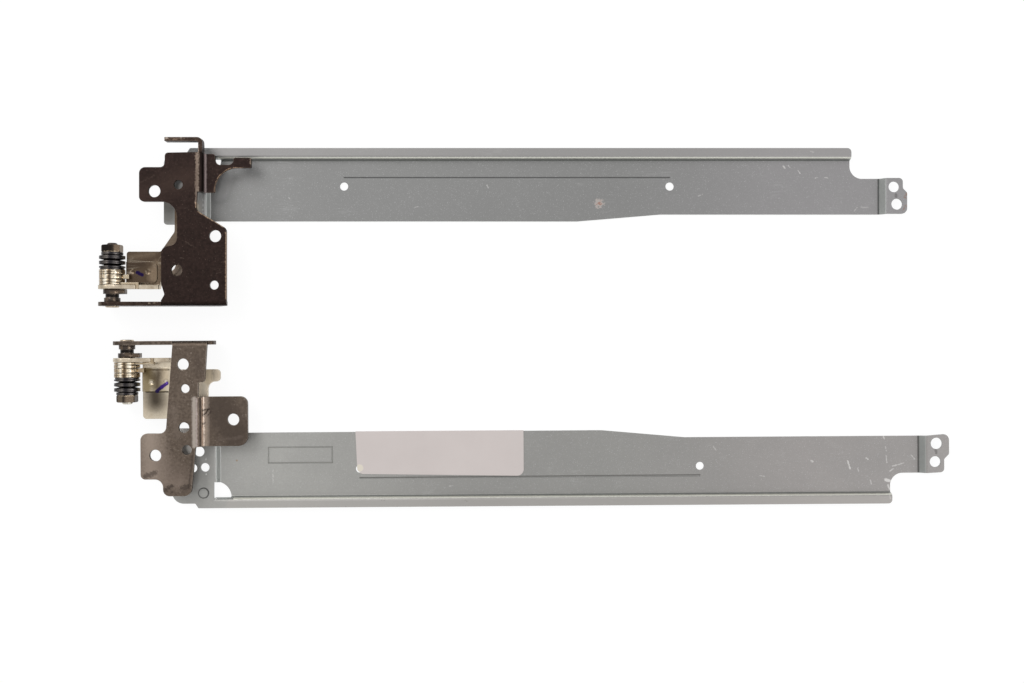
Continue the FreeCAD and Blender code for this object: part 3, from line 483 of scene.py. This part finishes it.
upperLidMarks = [
    stroke("upper", (4.2, 14.6), (12.0, 15.8), 1.2, (106, 93, 78), 0.6, 1.4, 0.4, high=footTop),
    stroke("upper", (13.0, 7.6), (13.0, 12.6), 1.8, (132, 115, 96), 0.55, 2.0, 0.4),
    stroke("upper", (11.7, 8.4), (11.7, 10.4), 2.0, (140, 122, 102), 0.5, 1.8, 0.4),
    stroke("upper", (4.6, 12.3), (9.0, 12.5), 1.4, (56, 46, 39), 0.7, 1.8, 0.4),
    stroke("upper", (16.6, 17.6), (18.2, 23.0), 3.4, (98, 86, 75), 0.85, 1.6, 0.3),
    stroke("upper", (5.9, 10.4), (5.9, 10.4), 0.2, (176, 160, 138), 0.6, 0.25, 0.5, ring=0.62),
    stroke("upper", (10.5, 10.3), (10.5, 10.3), 0.2, (168, 152, 130), 0.6, 0.25, 0.5, ring=0.62),
    stroke("upper", (14.0, 5.0), (-5.0, 5.0), 2.6, (206, 192, 168), 0.8, 0.6, 0.4),
    # painted light: the foot lightened where it is seen through the plate's hole
    stroke("upper", (18.9, 11.4), (18.9, 11.4), 4.6, (214, 192, 172), 0.95, 0.6, 0.1, dull=0.95),
    stroke("upper", (7.3, 10.1), (8.8, 9.35), 1.0, (27, 18, 56), 0.97, 0.25, 0.2),
]
lowerLidMarks = [
    # painted reflection: the curved foot darker in its middle
    stroke("lower", (8.0, 16.4), (8.2, 18.6), 5.0, (110, 100, 85), 0.9, 5.0, 0.4, high=footTop),
    stroke("lower", (8.0, 16.2), (8.2, 17.8), 4.8, (64, 57, 49), 0.9, 3.6, 0.3, high=footTop),
    stroke("lower", (5.3, 15.25), (11.9, 15.25), 0.5, (44, 36, 29), 0.85, 0.2, 0.15),
    stroke("lower", (6.0, 8.65), (12.3, 8.65), 0.5, (44, 36, 29), 0.85, 0.2, 0.2),
    stroke("lower", (5.4, 9.0), (5.6, 14.4), 2.8, (126, 111, 80), 0.85, 1.4, 0.5, low=footTop),
    stroke("lower", (7.4, 12.6), (9.2, 14.0), 3.4, (130, 118, 90), 0.75, 1.8, 0.5, low=footTop),
    stroke("lower", (10.8, 9.4), (11.0, 12.0), 3.0, (178, 160, 133), 0.55, 1.6, 0.4, low=footTop),
    stroke("lower", (6.4, 9.4), (7.6, 10.6), 3.6, (84, 71, 48), 0.85, 2.2, 0.3, low=footTop),
    stroke("lower", (9.3, 9.4), (8.7, 13.6), 2.4, (76, 65, 53), 0.85, 2.2, 0.3, low=footTop),
    stroke("lower", (7.0, 12.3), (7.0, 12.5), 0.24, (198, 184, 158), 0.6, 0.3, 0.5, ring=0.6),
    # painted light: the leg lightened where it lies in the notch under the plate
    stroke("lower", (22.2, 12.6), (22.2, 17.6), 3.2, (255, 240, 216), 1.0, 0.6, 0.3, dull=0.95),
    stroke("lower", (8.6, 15.1), (10.2, 13.8), 1.05, (30, 21, 66), 0.97, 0.25, 0.12),
    stroke("lower", (10.2, 13.8), (11.7, 12.7), 1.05, (58, 35, 108), 0.97, 0.25, 0.12),
    # painted light: the leg and side tab lightened beside the neck, under the plate
    stroke("lower", (22.4, 7.8), (22.4, 17.0), 0.9, (240, 228, 208), 0.7, 0.8, 0.9),
    stroke("lower", (23.9, 8.4), (23.9, 12.0), 2.4, (236, 218, 188), 0.9, 1.0, 0.3, dull=0.8),
]
looks = {
    "upperRail": dict(
        rail, colour=linear(132, 132, 131), midColour=linear(132, 132, 131), farColour=linear(147, 145, 146),
        seed=1.0, marks=upperRailMarks,
    ),
    "lowerRail": dict(
        rail, colour=linear(169, 168, 164), midColour=linear(148, 147, 144), farColour=linear(155, 151, 149),
        seed=1.5, marks=lowerRailMarks,
    ),
    "railCut": dict(
        colour=linear(168, 168, 166), stain=linear(112, 112, 110), bright=linear(220, 220, 218), seed=12.0,
        cloudSize=3.0, stainAmount=0.6, edgeStrength=0.3, roughness=(0.34, 0.48), bump=0.3,
    ),
    "upperLid": dict(
        nickel, colour=linear(80, 67, 55), stain=linear(62, 52, 43), seed=2.0, marks=upperLidMarks,
    ),
    "lowerLid": dict(
        nickel, colour=linear(208, 197, 178), stain=linear(164, 148, 126), seed=2.5, marks=lowerLidMarks,
    ),
    "lidCut": dict(
        colour=linear(214, 202, 182), stain=linear(134, 116, 94), bright=linear(250, 244, 232), seed=13.0,
        cloudSize=2.0, stainAmount=0.6, edgeStrength=0.3, roughness=(0.22, 0.36), bump=0.4,
    ),
    "upperBase": dict(
        plating, colour=linear(51, 40, 37), stain=linear(36, 29, 27), bright=linear(132, 116, 106),
        seed=3.0, edgeColour=linear(112, 96, 84), marks=upperBaseMarks,
    ),
    "upperCut": dict(
        plating, colour=linear(66, 54, 47), stain=linear(40, 32, 29), bright=linear(150, 132, 118),
        seed=10.0, edgeColour=linear(116, 100, 88), cloudSize=3.0, bump=0.4, marks=upperBaseMarks,
    ),
    "lowerBase": dict(
        plating, colour=linear(106, 94, 84), stain=linear(80, 70, 62), bright=linear(190, 177, 165),
        seed=4.0, edgeColour=linear(178, 165, 152), marks=lowerBaseMarks,
    ),
    "lowerCut": dict(
        plating, colour=linear(108, 96, 86), stain=linear(62, 54, 48), bright=linear(196, 181, 166),
        seed=11.0, cloudSize=3.0, bump=0.4,
    ),
    "rivet": dict(
        colour=linear(176, 170, 160), stain=linear(120, 112, 100), bright=linear(236, 230, 220), seed=9.0,
        cloudSize=2.0, stainAmount=0.5, edgeStrength=0.6, roughness=(0.24, 0.4), bump=0.2,
    ),
}
stackFrom, stackTo = 4.0, 26.0  # millimetres along the shaft
discReflections = [  # painted reflections: place across the shaft, width, colour, strength
    (-2.3, 0.5, (150, 128, 102), 0.6), (-1.0, 1.1, (252, 243, 226), 0.9), (0.4, 0.8, (66, 51, 37), 0.85),
    (1.7, 0.9, (252, 242, 222), 0.9), (2.45, 0.2, (70, 54, 40), 0.8), (-3.6, 0.4, (96, 80, 60), 0.5),
]
discGapShade = [6.3, 7.05, 8.05, 9.45, 10.2, 10.85]  # places along the shaft of the painted shade between discs
# painted reflections on the springs
springReflections = [
    (-1.0, 2.0, (112, 106, 100), 0.5), (2.0, 1.2, (112, 107, 104), 0.5), (0.6, 0.7, (34, 32, 34), 0.5),
    (-3.7, 0.3, (200, 196, 190), 0.5), (3.7, 0.3, (180, 176, 170), 0.5),
]
# painted light: the nut's facets lit and shaded
nutFacetLight = {
    "upper": [(-0.7, 3.2, (33, 28, 25), 0.85), (2.2, 1.7, (120, 104, 88), 0.85)],
    "lower": [(-1.4, 1.8, (134, 120, 103), 0.8), (1.4, 2.0, (112, 99, 85), 0.8)],
}
discColour = {"upper": (194, 179, 154), "lower": (180, 164, 138)}
threadMarks = {
    "upper": [],
    "lower": [stroke("lower", (-1.0, 18.6), (1.0, 18.6), 0.8, (214, 208, 194), 0.85, 0.3, 0.2)],
}


def reflectionBands(side, given):
    # painted reflections: bands of light and dark that run along the shaft
    return [
        stroke(side, (x, stackFrom), (x, stackTo), width, colour, strength, 0.5, 0.25)
        for x, width, colour, strength in given
    ]


for side in hingeLines:
    # painted reflections along the disc stack
    discLightAndShade = reflectionBands(side, discReflections)
    # painted shade between the discs
    discLightAndShade += [stroke(side, (-3.8, y), (3.8, y), 0.14, (48, 36, 27), 0.8, 0.15, 0.2) for y in discGapShade]
    nutLightAndShade = reflectionBands(side, nutFacetLight[side])
    # painted highlight at the nut's base
    nutLightAndShade += [stroke(side, (-1.6, 16.2), (2.6, 16.2), 0.2, (182, 165, 141), 0.8, 0.2, 0.4)]
    shaftMarks = [
        # painted shade in the neck's groove, and painted highlights on the neck and the flange
        stroke(side, (-2.6, 3.05), (2.6, 3.05), 0.9, (22, 20, 20), 0.9, 0.3, 0.05),
        stroke(side, (-1.0, 1.4), (-1.0, 2.2), 0.9, (124, 108, 92), 0.6, 0.5, 0.2),
        stroke(side, (1.2, 1.4), (1.2, 2.2), 0.4, (150, 132, 112), 0.5, 0.4, 0.2),
        stroke(side, (-2.2, -0.3), (2.2, -0.3), 0.5, (212, 196, 174), 0.85, 0.3, 0.2),
        stroke(side, (0.6, 3.9), (4.0, 4.4), 0.8, (108, 92, 76), 0.5, 0.6, 0.4),
    ]
    looks[side + "Disc"] = dict(
        colour=linear(*discColour[side]), stain=linear(112, 90, 67), bright=linear(252, 246, 232), seed=6.0,
        cloudSize=1.4, cloudContrast=4.0, stainAmount=0.45, mottleSize=0.45, mottleAmount=0.3,
        edgeStrength=0.7, roughness=(0.18, 0.34), bump=0.2, marks=discLightAndShade,
    )
    looks[side + "Spring"] = dict(
        colour=linear(60, 57, 59), stain=linear(36, 34, 37), bright=linear(150, 145, 142), seed=7.0,
        cloudSize=1.5, stainAmount=0.5, edgeStrength=0.35, roughness=(0.26, 0.4), bump=0.2,
        marks=reflectionBands(side, springReflections),
    )
    looks[side + "Nut"] = dict(
        colour=linear(66, 57, 50), stain=linear(42, 36, 33), bright=linear(186, 172, 152), seed=8.0,
        cloudSize=1.5, stainAmount=0.5, edgeStrength=0.7, roughness=(0.24, 0.38), bump=0.2, marks=nutLightAndShade,
    )
    looks[side + "Shaft"] = dict(
        colour=linear(84, 75, 69), stain=linear(42, 37, 35), bright=linear(196, 184, 168), seed=5.0,
        cloudSize=2.0, stainAmount=0.6, edgeStrength=0.7, roughness=(0.22, 0.36), bump=0.2,
        marks=shaftMarks + threadMarks[side],
    )
materials = {name: metalFinish(name, look) for name, look in looks.items()}
finishOf = {  # own name: finish on either side
    "screen_rail": "Rail", "lid_bracket": "Lid", "base_bracket": "Base", "shaft": "Shaft",
    "key_plate": "Disc", "friction_disc": "Disc", "fixed_cam": "Disc", "turning_cam": "Disc",
    "thrust_disc": "Spring", "disc_springs": "Spring", "washer": "Spring", "lock_nut": "Nut",
}
cutFinishOf = {"screen_rail": "railCut", "lid_bracket": "lidCut"}  # a base bracket has its side's own
paper = dict(
    colour=linear(212, 203, 200), stain=linear(202, 193, 190), stainAmount=0.7, shine=0.3,
    roughness=(0.5, 0.7), bump=0.2, bumpDepth=0.03,
    marks=[
        stroke("lower", (68.2, 39.4), (68.2, 39.4), 1.9, (246, 244, 242), soft=0.3, ragged=0.1),
        stroke("lower", (68.8, 38.9), (68.8, 38.9), 2.2, (224, 216, 202), soft=0.2, ragged=0.1),
    ],
)


def paperFinish():
    material = bpy.data.materials.new("labelPaper")
    material.use_nodes = True
    tree = material.node_tree
    shader = tree.nodes["Principled BSDF"]
    cloud = effect(tree, "tarnish", {"Size": 14.0, "Contrast": 2.0, "Seed": 20.0})
    fibre = effect(tree, "speckle", {"Size": 0.25, "Amount": 0.5, "Seed": 21.0}, "Grain")
    colour = tint(tree, paper["colour"], cloud, paper["stain"], paper["stainAmount"])
    colour = addMarks(tree, colour, paper["marks"], shader)
    tree.links.new(colour, shader.inputs["Base Color"])
    shader.inputs["Specular IOR Level"].default_value = paper["shine"]
    low, high = paper["roughness"]
    rough = calculate(tree, "MULTIPLY_ADD", fibre, high - low, low)
    tree.links.new(rough, shader.inputs["Roughness"])
    bump = addNode(tree, "Bump", {
        "Height": fibre, "Strength": paper["bump"], "Distance": paper["bumpDepth"] * mm,
    })
    tree.links.new(bump.outputs[0], shader.inputs["Normal"])
    return material


materials["labelPaper"] = paperFinish()
print("materials made:", len(materials))

# Sheet and turned pieces: the CAD solid's own form with its edges broken
sheetPieces = {  # own name: width of the broken edge and thickness of the sheet, in millimetres
    "screen_rail": (0.06, 0.6), "lid_bracket": (0.12, 1.2), "base_bracket": (0.13, 1.2),
}
turnedPieces = {  # own name: width of the broken edge
    "shaft": 0.08, "key_plate": 0.07, "friction_disc": 0.1, "fixed_cam": 0.09, "turning_cam": 0.09,
    "thrust_disc": 0.08, "disc_springs": 0.06, "washer": 0.08, "lock_nut": 0.08,
}
rivetEdge = 0.08
weldWithin = {"sheet": 0.06, "turned": 0.001}  # millimetres between corners that become one
shortestEdge = {"sheet": 0.12, "turned": 0.02}  # millimetres, shorter ones stay sharp
flatAngle, tightAngle, sharpAngle = (math.radians(degrees) for degrees in (0.5, 20, 35))


def selectOnly(piece):
    bpy.ops.object.select_all(action="DESELECT")
    piece.select_set(True)
    bpy.context.view_layer.objects.active = piece


def markCutFaces(mesh, sheet):
    # a face is a cut edge where the metal behind it is thicker than the sheet
    insideBy, thicker = 0.01, 1.5
    corners = [vertex.co for vertex in mesh.vertices]
    solid = BVHTree.FromPolygons(corners, [tuple(face.vertices) for face in mesh.polygons])
    for face in mesh.polygons:
        inside = face.center - face.normal * insideBy * mm
        through = solid.ray_cast(inside, -face.normal)[3]
        if through is not None and through > thicker * sheet * mm:
            face.material_index = 1


def weighSharpEdges(mesh, shortest):
    # edges to be broken: sharp ones, but none that meets a short edge or a pointed corner
    meeting = {}
    for face in mesh.polygons:
        for key in face.edge_keys:
            meeting.setdefault(key, []).append(face.normal)
    tight = set()
    for face in mesh.polygons:
        ring = [mesh.vertices[i].co for i in face.vertices]
        for i, here in enumerate(ring):
            following = (i + 1) % len(ring)
            ahead = ring[following] - here
            if ahead.length < shortest * mm:
                tight.update((face.vertices[i], face.vertices[following]))
            if (ring[i - 1] - here).angle(ahead, 0.0) < tightAngle:
                tight.add(face.vertices[i])
    weights = mesh.attributes.new("bevel_weight_edge", "FLOAT", "EDGE")
    for edge in mesh.edges:
        sides = meeting.get(edge.key, [])
        sharp = len(sides) == 2 and sides[0].angle(sides[1], 0.0) > sharpAngle
        free = tight.isdisjoint(edge.vertices)
        weights.data[edge.index].value = 1.0 if sharp and free else 0.0


def brokenEdges(node, finish, width, sheet=None, cutFinish=None):
    kind = "sheet" if sheet else "turned"
    mesh = nodes[node].data.copy()
    piece = bpy.data.objects.new(node + "_finished", mesh)
    bpy.context.scene.collection.objects.link(piece)
    mesh.materials.clear()
    mesh.materials.append(materials[finish])
    selectOnly(piece)
    bpy.ops.mesh.customdata_custom_splitnormals_clear()
    bpy.ops.object.mode_set(mode="EDIT")
    bpy.ops.mesh.select_all(action="SELECT")
    bpy.ops.mesh.remove_doubles(threshold=weldWithin[kind] * mm)
    bpy.ops.mesh.dissolve_degenerate(threshold=weldWithin["turned"] * mm)
    bpy.ops.object.mode_set(mode="OBJECT")
    for face in mesh.polygons:
        face.material_index = 0
    if sheet:
        mesh.materials.append(materials[cutFinish])
        markCutFaces(mesh, sheet)
    bpy.ops.object.mode_set(mode="EDIT")
    bpy.ops.mesh.select_all(action="SELECT")
    bpy.ops.mesh.dissolve_limited(angle_limit=flatAngle, delimit={"MATERIAL"})
    bpy.ops.object.mode_set(mode="OBJECT")
    weighSharpEdges(mesh, shortestEdge[kind])
    edge = piece.modifiers.new("brokenEdge", "BEVEL")
    edge.width = width * mm
    edge.segments = 2
    edge.limit_method = "WEIGHT"
    edge.use_clamp_overlap = False
    bpy.ops.object.modifier_apply(modifier=edge.name)
    bpy.ops.object.shade_smooth_by_angle(angle=sharpAngle)
    even = piece.modifiers.new("evenNormals", "WEIGHTED_NORMAL")
    even.keep_sharp = True
    bpy.ops.object.modifier_apply(modifier=even.name)
    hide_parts(node)
    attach(piece, bodyOf[node])


for side in hingeLines:
    for own, (width, sheet) in sheetPieces.items():
        cutFinish = cutFinishOf.get(own, side + "Cut")
        brokenEdges(side + "_" + own, side + finishOf[own], width, sheet, cutFinish)
    for own, width in turnedPieces.items():
        brokenEdges(side + "_" + own, side + finishOf[own], width)
    brokenEdges(side + "_rail_rivets", "rivet", rivetEdge)
    print(side, "hinge dressed")

label = nodes["lower_paper_label"]
label.data.materials.clear()
label.data.materials.append(materials["labelPaper"])

# Floor, light and camera
paleFloor = dict(size=8.0, below=0.05, shade=0.86, glow=1.06, glowShare=0.86)  # metres, millimetres
room = dict(plain=0.62, mirroredLow=0.45, mirroredRise=0.55, riseEnds=0.75)  # strengths, then a height
softBoxes = [  # metres and watts
    dict(place=(-0.55, 0.55, 0.75), width=0.5, height=0.7, watts=3.6),
    dict(place=(0.9, -0.15, 0.55), width=0.2, height=0.6, watts=2.6),
]
photo = dict(width=1024, focal=1100.0, eye=(-4.05, -5.12, 334.0))  # pixels, pixels, millimetres


def floorFinish():
    # white to the camera and in mirrors, with the pieces' shadow left in
    material = bpy.data.materials.new("paleFloor")
    material.use_nodes = True
    tree = material.node_tree
    tree.nodes.remove(tree.nodes["Principled BSDF"])
    shade = paleFloor["shade"]
    diffuse = addNode(tree, "BsdfDiffuse", {"Color": (shade, shade, shade, 1.0)})
    white = addNode(tree, "Emission", {"Color": (1.0, 1.0, 1.0, 1.0), "Strength": paleFloor["glow"]})
    ray = addNode(tree, "LightPath").outputs
    seen = calculate(tree, "MAXIMUM", ray["Is Camera Ray"], ray["Is Glossy Ray"])
    seen = calculate(tree, "MAXIMUM", seen, ray["Is Transmission Ray"])
    share = calculate(tree, "MULTIPLY", seen, paleFloor["glowShare"])
    mix = addNode(tree, "MixShader", {0: share, 1: diffuse.outputs[0], 2: white.outputs[0]})
    tree.links.new(mix.outputs[0], tree.nodes["Material Output"].inputs["Surface"])
    return material


def lightRoom():
    # white to the camera, and in mirrors lighter upwards than at the sides
    world = bpy.data.worlds.new("paleRoom")
    bpy.context.scene.world = world
    world.use_nodes = True
    tree = world.node_tree
    ray = addNode(tree, "LightPath").outputs
    seen = calculate(tree, "MAXIMUM", ray["Is Camera Ray"], ray["Is Transmission Ray"])
    direction = addNode(tree, "TexCoord").outputs["Generated"]
    upwards = addNode(tree, "SeparateXYZ", {0: direction}).outputs[2]
    risen = mapped(tree, upwards, 0.0, room["riseEnds"])
    mirrored = calculate(tree, "MULTIPLY_ADD", risen, room["mirroredRise"], room["mirroredLow"])
    change = calculate(tree, "SUBTRACT", mirrored, room["plain"])
    strength = calculate(tree, "MULTIPLY_ADD", ray["Is Glossy Ray"], change, room["plain"])
    strength = calculate(tree, "MAXIMUM", strength, seen)
    background = tree.nodes["Background"]
    background.inputs["Color"].default_value = (1.0, 1.0, 1.0, 1.0)
    tree.links.new(strength, background.inputs["Strength"])


bpy.ops.mesh.primitive_plane_add(size=paleFloor["size"], location=(0, 0, -paleFloor["below"] * mm))
floor = bpy.context.active_object
floor.name = "floor"
floor.data.materials.append(floorFinish())
lightRoom()

for i, box in enumerate(softBoxes):
    light = bpy.data.lights.new(f"softBox{i}", "AREA")
    light.shape = "RECTANGLE"
    light.size = box["width"]
    light.size_y = box["height"]
    light.energy = box["watts"]
    lamp = bpy.data.objects.new(light.name, light)
    bpy.context.scene.collection.objects.link(lamp)
    lamp.location = box["place"]
    lamp.rotation_euler = (-Vector(box["place"])).to_track_quat("-Z", "Y").to_euler()

lens = bpy.data.cameras.new("photoLens")
lens.sensor_width = 36.0
lens.lens = lens.sensor_width * photo["focal"] / photo["width"]
lens.clip_start = 0.01
camera = bpy.data.objects.new("photoCamera", lens)
bpy.context.scene.collection.objects.link(camera)
camera.location = Vector(photo["eye"]) * mm
bpy.context.scene.camera = camera
bpy.context.scene.view_settings.view_transform = "Standard"
print("stage set")
